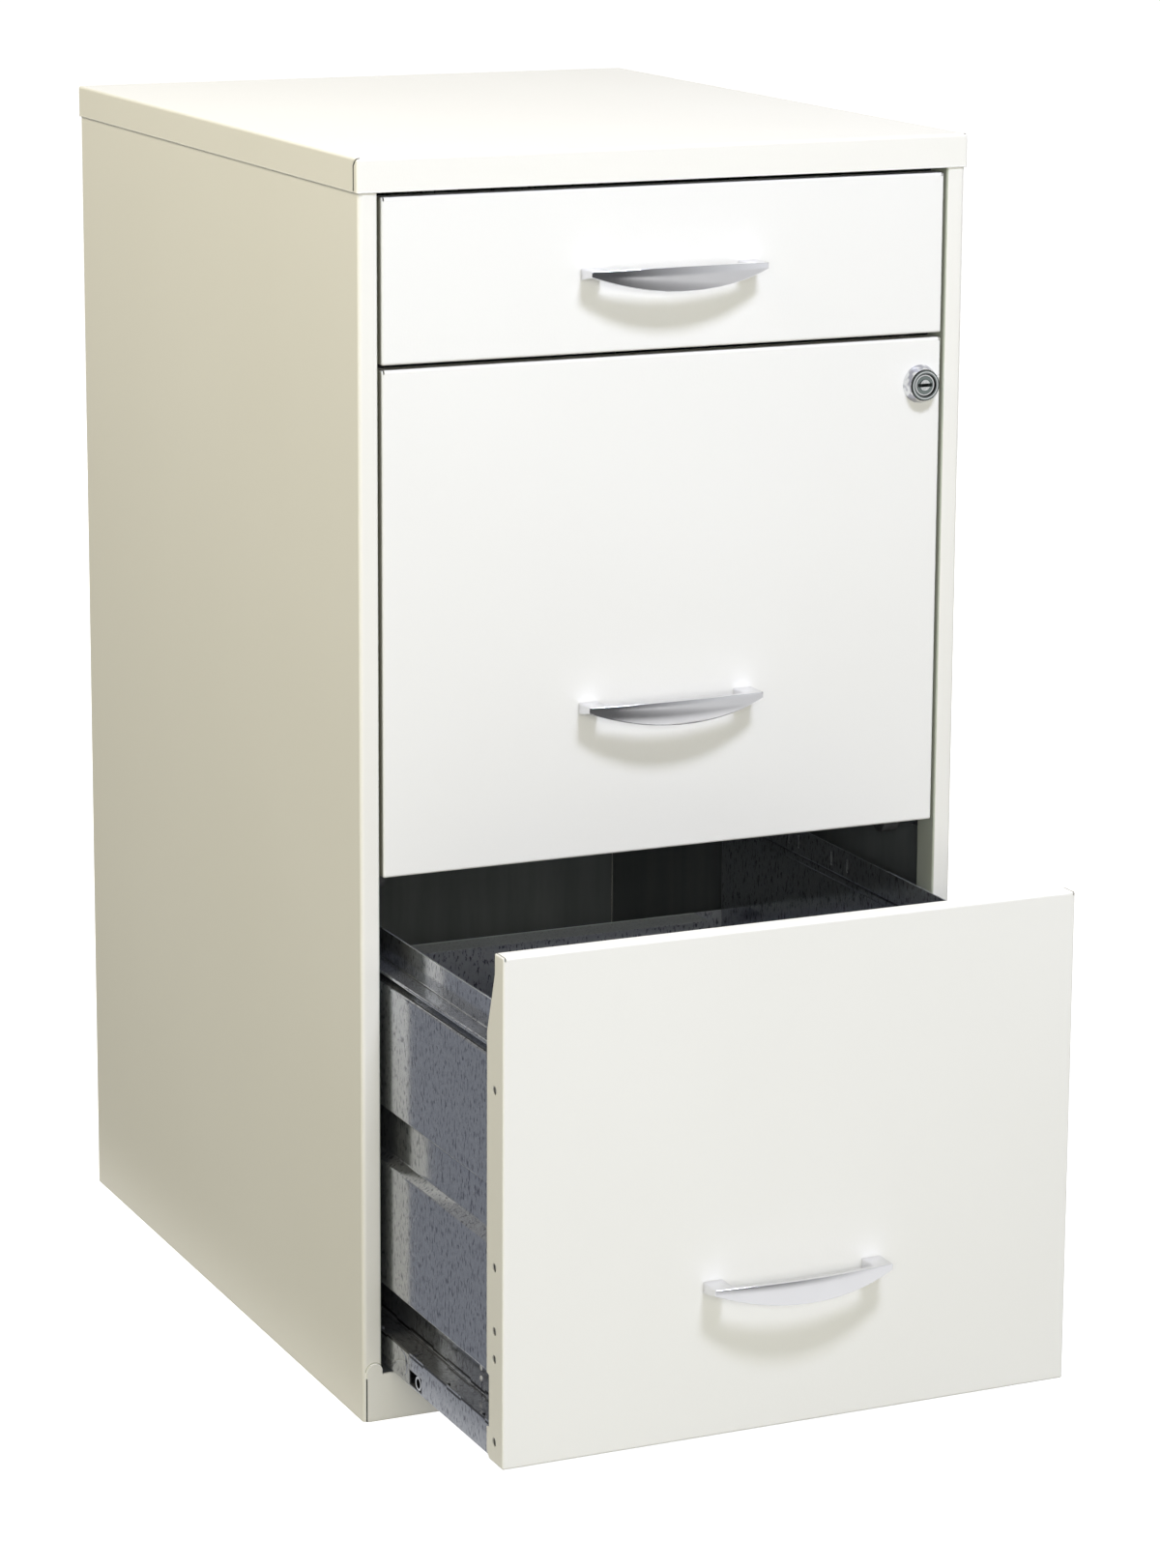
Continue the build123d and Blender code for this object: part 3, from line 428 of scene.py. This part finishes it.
# Galvanised sheet
ZINC, ZINC_PALE = (0.44, 0.455, 0.495), (0.49, 0.505, 0.54)
ZINC_SPECK, ZINC_STAIN = (0.11, 0.11, 0.145), (0.26, 0.29, 0.31)
# painted highlight on cut edges
CUT_EDGE_HIGHLIGHT, CUT_EDGE_RADIUS = (0.85, 0.90, 0.93), 0.0005
# painted highlight along a drawer back's rolled flange
ROLLED_EDGE_HIGHLIGHT, CRIMP_SHADOW = (0.93, 1.0, 1.0), (0.02, 0.02, 0.022)
CRYSTAL_SCALE, FLECK_SCALE, STAIN_SCALE, RELIEF_SCALE = 420.0, 620.0, 9.0, 160.0
ROLL_STRETCH = (1.0, 1.0, 0.35)             # draws patterns out upright, along the roll
RELIEF_DEPTH, RELIEF_STRENGTH = 0.0002, 0.12
ZINC_METAL, EDGE_METAL, BACK_METAL = 0.86, 0.4, 0.2
ZINC_ROUGH = (0.11, 0.16)
UPWARD, ROLL_LEAN = 0.9, -1.7               # the least z of a face that looks up, and its tip
ROLL_START, ROLL_END = 0.003, 0.002         # a flange's strip of painted highlight, in from its rear
CRIMP_PITCH, CRIMP_SHARE = 0.052, 0.62
CRIMP_STEP, CRIMP_LINE = 0.0010, 0.0014
CRIMP_DROP, FOOT_BEND = 0.0007, 0.0029      # below a rail's top, above a side's foot
RAIL_EDGE_HIGHLIGHT = 0.15                          # how strong the painted highlight on a rail's cut edges is


def leaning(s):
    """1 on faces that look up, and the normal, tipped forwards there as on a rolled
    edge."""
    parts = s.add("ShaderNodeSeparateXYZ")
    flat = s.flat()
    s.feed(flat, parts.inputs[0])
    upward = s.over(parts.outputs["Z"], UPWARD)
    lean = s.vector(Y=s.times(upward, ROLL_LEAN))
    total = s.vector_maths("ADD", "Vector", flat, lean)
    return upward, s.vector_maths("NORMALIZE", "Vector", total)


def crimped_line(s, height):
    """1 on a thin line along y that steps up and down at each crimp."""
    _, y, z = s.split()
    turns = s.maths("FRACT", s.maths("DIVIDE", y, CRIMP_PITCH))
    step = s.times(s.over(turns, CRIMP_SHARE), CRIMP_STEP)
    return s.near(z, s.less(height, step), CRIMP_LINE / 2)


def galvanised(name, metallic=ZINC_METAL, crimps=None, edge_highlight=1.0, rolled=None):
    """Zinc-coated sheet: faint crystals, short dark flecks along the roll, stains and a painted
    highlight on cut edges. A rail or a side has a dark crimped line at the height given. The
    flange of a drawer's back, whose rear edge is given, has a painted highlight along its rear
    strip and looks rolled."""
    s = Shader(name)
    crystal, crystal_gloss = s.cells(CRYSTAL_SCALE)
    metal = s.blend(crystal, ZINC, ZINC_PALE)
    flecks = s.noise(FLECK_SCALE, detail=3.0, stretch=ROLL_STRETCH, roughness=0.65)
    metal = s.blend(s.span(flecks, 0.0, 0.95, 0.55, 0.62), metal, ZINC_SPECK)
    stain = s.span(s.noise(STAIN_SCALE, detail=4.0), 0.0, 0.3, 0.45, 0.8)
    metal = s.blend(stain, metal, ZINC_STAIN)
    tipped = None
    if rolled:
        upward, tipped = leaning(s)
        # painted highlight along the flange's rear strip
        rolled_highlight = s.span(s.split()[1], 0.45, 1.0, rolled - ROLL_START, rolled - ROLL_END)
        metal = s.blend(s.times(upward, rolled_highlight), metal, ROLLED_EDGE_HIGHLIGHT)
    # painted highlight on cut edges, which are also less metallic
    edge = s.times(s.edges(CUT_EDGE_RADIUS), edge_highlight)
    metal = s.blend(edge, metal, CUT_EDGE_HIGHLIGHT)
    if crimps:
        metal = s.blend(crimped_line(s, crimps), metal, CRIMP_SHADOW)
    s.feed(metal, s.surface.inputs["Base Color"])
    s.feed(s.span(crystal_gloss, *ZINC_ROUGH), s.surface.inputs["Roughness"])
    s.feed(s.span(edge, metallic, EDGE_METAL), s.surface.inputs["Metallic"])
    relief = s.noise(RELIEF_SCALE, detail=3.0, stretch=ROLL_STRETCH)
    s.bump(relief, RELIEF_DEPTH, RELIEF_STRENGTH, normal=tipped)
    return s.material


# Plated, turned and moulded parts
# plated rivet heads lightened to near-white: partly their plating, partly a painted highlight
CHROME, PLATE, RIVET_GLINT = (0.82, 0.82, 0.84), (0.74, 0.75, 0.76), (0.92, 0.92, 0.94)
TINT_SHADE = 0.93                           # the darker of a plating's two tints
SMEAR_SCALE, TINT_SCALE, POLISH_SCALE = 90.0, 35.0, 700.0
POLISH_DEPTH, POLISH_STRENGTH = 0.00002, 0.15
NYLON, NYLON_WORN, NYLON_ROUGH = (0.05, 0.05, 0.052), (0.085, 0.085, 0.088), (0.35, 0.5)
SCUFF_SCALE, SHEEN_SCALE, GRAIN_SCALE = 220.0, 300.0, 800.0
GRAIN_DEPTH, GRAIN_STRENGTH = 0.00005, 0.3
MOTTLE_SCALE, WIPE_SCALE, TURNED_SCALE = 900.0, 210.0, 500.0
TURNED_DEPTH, TURNED_STRENGTH, TURNED_SPREAD = 0.00008, 0.3, 1.8


def plated(name, colour, rough, dull, metallic=1.0):
    """Plated or polished metal with faint smears in its gloss."""
    s = Shader(name)
    smear = s.noise(SMEAR_SCALE, detail=4.0, roughness=0.6)
    s.feed(s.span(smear, rough, rough + dull, 0.35, 0.75), s.surface.inputs["Roughness"])
    darker = tuple(TINT_SHADE * part for part in colour)
    tint = s.blend(s.span(s.noise(TINT_SCALE), 0.0, 1.0), colour, darker)
    s.feed(tint, s.surface.inputs["Base Color"])
    s.bump(s.noise(POLISH_SCALE, detail=2.0), POLISH_DEPTH, POLISH_STRENGTH)
    s.set(Metallic=metallic)
    return s.material


def nylon():
    """Moulded nylon for the rollers, with paler scuffed patches."""
    s = Shader("roller_nylon")
    worn = s.span(s.noise(SCUFF_SCALE, detail=3.0), 0.0, 1.0, 0.4, 0.8)
    s.feed(s.blend(worn, NYLON, NYLON_WORN), s.surface.inputs["Base Color"])
    s.feed(s.span(s.noise(SHEEN_SCALE), *NYLON_ROUGH), s.surface.inputs["Roughness"])
    s.bump(s.noise(GRAIN_SCALE), GRAIN_DEPTH, GRAIN_STRENGTH)
    return s.material


def ringed(name, middle, middle_colours, rings, rough):
    """Turned metal in rings round the lock's axis: two colours mottled together in the
    middle, then each ring's inner radius and colour, or two colours smeared together."""
    s = Shader(name)
    x, _, z = s.split()
    reach = s.radius(x, z, middle.x, middle.z)
    mottle = s.span(s.noise(MOTTLE_SCALE, detail=3.0), 0.0, 1.0, 0.42, 0.62)
    body = s.blend(mottle, *middle_colours)
    smear = s.span(s.noise(WIPE_SCALE, detail=1.0), 0.0, 1.0, 0.44, 0.56)
    for radius, colour in rings:
        if isinstance(colour[0], tuple):
            colour = s.blend(smear, *colour)
        body = s.blend(s.over(reach, radius), body, colour)
    s.feed(body, s.surface.inputs["Base Color"])
    s.feed(s.span(mottle, rough, TURNED_SPREAD * rough), s.surface.inputs["Roughness"])
    s.bump(s.noise(TURNED_SCALE, detail=2.0), TURNED_DEPTH, TURNED_STRENGTH)
    s.set(Metallic=1.0)
    return s.material


# The lock's face: a bright plug with a dull band round it, in a dull rim with bright and
# dark edges
BRIGHT, BRIGHT_SHADE = (0.82, 0.83, 0.84), (0.70, 0.71, 0.72)
DULL, DULL_SHADE = (0.24, 0.28, 0.27), (0.26, 0.28, 0.28)
GREENISH, DARK, GREY = (0.10, 0.14, 0.13), (0.03, 0.03, 0.03), (0.42, 0.42, 0.47)
PLUG_RINGS = ((0.0031, GREENISH), (0.0034, DULL), (0.0052, BRIGHT), (0.0058, DARK))
RIM_RINGS = ((0.0072, BRIGHT), (0.0077, DULL), (0.0083, DARK), (0.0088, (BRIGHT, GREY)))

plug_low, plug_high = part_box("lock_plug")
lock_middle = (plug_low + plug_high) / 2
lock_core = ringed("lock_core", lock_middle, (BRIGHT, BRIGHT_SHADE), PLUG_RINGS, 0.08)
lock_rim = ringed("lock_rim", lock_middle, (DULL, DULL_SHADE), RIM_RINGS, 0.07)
# plated rivet heads, near-white and partly diffuse: partly a painted highlight
rivet_glint_metal = plated("rivet", RIVET_GLINT, 0.16, 0.08, metallic=0.4)

SLOT_FINISHES = {
    "case_paint": paint("case_paint", IVORY, IVORY_SHADE, *case_inside(), marks=case_marks),
    "galvanised_sheet": galvanised("galvanised"),
    "chrome": plated("chrome", CHROME, 0.10, 0.06),
    "lock_core": lock_core,
    "zinc_plate": plated("zinc_plate", PLATE, 0.14, 0.12),
    "roller_nylon": nylon(),
}


def finish_of(name, slot):
    """A node's own finish, or else its slot's. The right-hand rail and side of a drawer
    have the finish made for the left-hand one."""
    if name == "lock_housing":
        return lock_rim
    if name.endswith("_drawer_front"):
        return paint(f"{name}_paint", WHITE, WHITE_SHADE, front_inside(name))
    if name.endswith("_drawer_back"):
        return galvanised(f"{name}_zinc", metallic=BACK_METAL, rolled=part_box(name)[1].y)
    if name.endswith(("_rail_right", "_drawer_side_right")):
        return nodes[name.replace("_right", "_left")].data.materials[0]
    if name.endswith("_rail_left"):
        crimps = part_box(name)[1].z - CRIMP_DROP
        return galvanised(f"{name}_zinc", crimps=crimps, edge_highlight=RAIL_EDGE_HIGHLIGHT)
    if name.endswith("_drawer_side_left"):
        return galvanised(f"{name}_zinc", crimps=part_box(name)[0].z + FOOT_BEND)
    return SLOT_FINISHES[slot]


for entry in frame["record"]["subparts"]:
    finish = finish_of(entry["node"], entry["material_slot"])
    mesh = nodes[entry["node"]].data
    mesh.materials.clear()
    mesh.materials.append(finish)


# Rivets that hold each file drawer's sides to its rails, two near the front on each side
RIVET_RADIUS, RIVET_HEIGHT = 0.0016, 0.0007
RIVET_BACK, RIVET_RISES = 0.063, (0.0265, 0.0325)
RIVET_SEGMENTS, RIVET_RINGS = 20, 12
SIDE_SHEET = 0.0008


def rivets(drawer):
    """Low domed heads on the outer faces of both recess walls."""
    front_low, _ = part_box(f"{drawer}_front")
    _, side_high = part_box(f"{drawer}_side_left")
    wall = abs(side_high.x) + SIDE_SHEET
    flatten = Matrix.Diagonal((RIVET_HEIGHT, RIVET_RADIUS, RIVET_RADIUS, 1.0))
    shape = bmesh.new()
    for side in (-1, 1):
        for rise in RIVET_RISES:
            place = Vector((side * wall, front_low.y + RIVET_BACK, front_low.z + rise))
            bmesh.ops.create_uvsphere(
                shape, u_segments=RIVET_SEGMENTS, v_segments=RIVET_RINGS, radius=1.0,
                matrix=Matrix.Translation(place) @ flatten,
            )
    for face in shape.faces:
        face.smooth = True
    mesh = bpy.data.meshes.new(f"{drawer}_rivets")
    shape.to_mesh(mesh)
    shape.free()
    mesh.materials.append(rivet_glint_metal)
    piece = bpy.data.objects.new(f"{drawer}_rivets", mesh)
    scene.collection.objects.link(piece)
    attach(piece, drawer)


for drawer in ("bottom_drawer", "middle_drawer"):
    rivets(drawer)


# Floor
FLOOR_HALF = 20.0
FLOOR_COLOUR, FLOOR_BOUNCE = (0.80, 0.80, 0.80), (0.21, 0.215, 0.17)
FLOOR_GLOW = 0.88                           # lifts the floor to white for the camera
FLOOR_BESIDE = (0.25, 0.265, 0.305)
FLOOR_ROUGH, FLOOR_SPECULAR = 0.9, 0.1
NEAR_Y, RIGHT_X = (-2.0, -0.9), (0.0, 1.6)  # where its reflection brightens
BESIDE_X, BESIDE_Y = (-0.22, -0.18), (-0.5, -0.3)


def floor_material():
    """Pale to the camera, with a soft shadow, and it meets the white background. Less of
    its light bounces on to the object. Reflections of it are white near the object, dark
    far in front of it, and dim beside its left side."""
    s = Shader("floor")
    ray = s.add("ShaderNodeLightPath")
    seen = ray.outputs["Is Camera Ray"]
    s.feed(s.blend(seen, FLOOR_BOUNCE, FLOOR_COLOUR), s.surface.inputs["Base Color"])
    s.set(Roughness=FLOOR_ROUGH, Specular_IOR_Level=FLOOR_SPECULAR)
    lit = s.add("ShaderNodeAddShader")
    s.feed(s.surface.outputs[0], lit.inputs[0])
    s.feed(s.emission(FULL_WHITE, s.times(seen, FLOOR_GLOW)), lit.inputs[1])
    x, y, _ = s.split()
    glow = s.most(s.span(y, 0.0, 0.95, *NEAR_Y), s.span(x, 0.12, 0.7, *RIGHT_X))
    beside = s.times(s.span(x, 1.0, 0.0, *BESIDE_X), s.span(y, 0.0, 1.0, *BESIDE_Y))
    mirrored = s.blend(beside, s.blend(glow, BLACK, FULL_WHITE), FLOOR_BESIDE)
    pick = s.add("ShaderNodeMixShader")
    s.feed(ray.outputs["Is Glossy Ray"], pick.inputs[0])
    s.feed(lit.outputs[0], pick.inputs[1])
    s.feed(s.emission(mirrored), pick.inputs[2])
    s.output(pick.outputs[0])
    return s.material


def lay_floor():
    mesh = bpy.data.meshes.new("floor")
    shape = bmesh.new()
    bmesh.ops.create_grid(shape, x_segments=2, y_segments=2, size=FLOOR_HALF)
    shape.to_mesh(mesh)
    shape.free()
    mesh.materials.append(floor_material())
    floor = bpy.data.objects.new("floor", mesh)
    scene.collection.objects.link(floor)


lay_floor()


# World. The pairs are parts of the direction, between which one look turns into another.
SKY, SKY_LEFT, SKY_STRENGTH = (1.0, 1.0, 0.95), (1.0, 0.93, 0.71), 0.26
ROOM, ROOM_DIMMEST = (0.97, 0.98, 1.0), 0.10
LEFT_TURN, RIGHT_TURN, OVERHEAD_TURN = (-0.5, 0.1), (0.05, 0.95), (0.35, 0.9)
BEHIND_TURN, BEHIND_SIDE = (0.0, 0.4), (-0.1, 0.2)


def light_world():
    """White where the camera sees it, and plain soft light, warmer from the left. In
    reflections it is a dim room that brightens overhead, at the right and behind."""
    world = bpy.data.worlds.new("studio")
    world.use_nodes = True
    scene.world = world
    room = Nodes(world.node_tree, "Generated")
    ray = room.add("ShaderNodeLightPath")
    x, y, z = room.split()
    sky = room.blend(room.span(x, 1.0, 0.0, *LEFT_TURN), SKY, SKY_LEFT)
    sky = room.blend(SKY_STRENGTH, BLACK, sky)
    behind = room.span(y, 0.0, 1.0, *BEHIND_TURN)
    behind = room.times(behind, room.span(x, 0.22, 1.0, *BEHIND_SIDE))
    right = room.span(x, 0.0, 1.0, *RIGHT_TURN)
    overhead = room.span(z, 0.0, 0.6, *OVERHEAD_TURN)
    gleam = room.span(room.most(behind, right, overhead), ROOM_DIMMEST, 1.0)
    glossy = room.blend(gleam, BLACK, ROOM)
    light = room.blend(ray.outputs["Is Glossy Ray"], sky, glossy)
    seen = room.blend(ray.outputs["Is Camera Ray"], light, FULL_WHITE)
    room.feed(seen, room.tree.nodes["Background"].inputs["Color"])


light_world()


# Lamps, all soft boxes: name, place, aim, width, height, watts, colour, and whether it
# shows in reflections. The rear one is for the faces that the photograph doesn't show.
LAMPS = (
    ("key", (0.05, -1.45, 2.0), (0.0, -0.23, 0.6), 0.45, 0.28, 26.6, (0.80, 0.83, 0.98), True),
    ("front_left", (-1.6, -3.0, 1.0), (0.0, -0.2, 0.3), 1.0, 0.8, 15.0, FULL_WHITE, False),
    ("front", (-0.6, -3.4, 1.2), (0.0, -0.2, 0.4), 2.2, 0.5, 28.5, (1.0, 0.98, 0.885), False),
    ("low", (-0.6, -3.4, 0.55), (0.0, -0.2, 0.3), 1.6, 0.4, 11.0, (1.0, 0.99, 0.91), False),
    ("overhead", (0.0, -0.5, 2.4), (0.0, -0.2, 0.6), 1.2, 0.9, 0.4, FULL_WHITE, True),
    ("rolled_highlight", (1.7, 2.3, 0.85), (0.0, 0.1, 0.35), 2.0, 1.0, 26.0, (1.0, 0.98, 0.92), False),
    ("side", (-1.3, -0.05, 1.75), (-0.18, 0.05, 0.6), 1.0, 0.9, 21.5, (1.0, 0.93, 0.73), False),
)


def soft_box(name, place, aim, width, height, watts, colour, mirrored):
    data = bpy.data.lights.new(name, "AREA")
    data.shape = "RECTANGLE"
    data.size, data.size_y = width, height
    data.energy = watts
    data.color = colour
    light = bpy.data.objects.new(name, data)
    light.location = place
    light.rotation_mode = "QUATERNION"
    light.rotation_quaternion = (Vector(aim) - Vector(place)).to_track_quat("-Z", "Y")
    light.visible_glossy = mirrored
    scene.collection.objects.link(light)


for lamp in LAMPS:
    soft_box(*lamp)
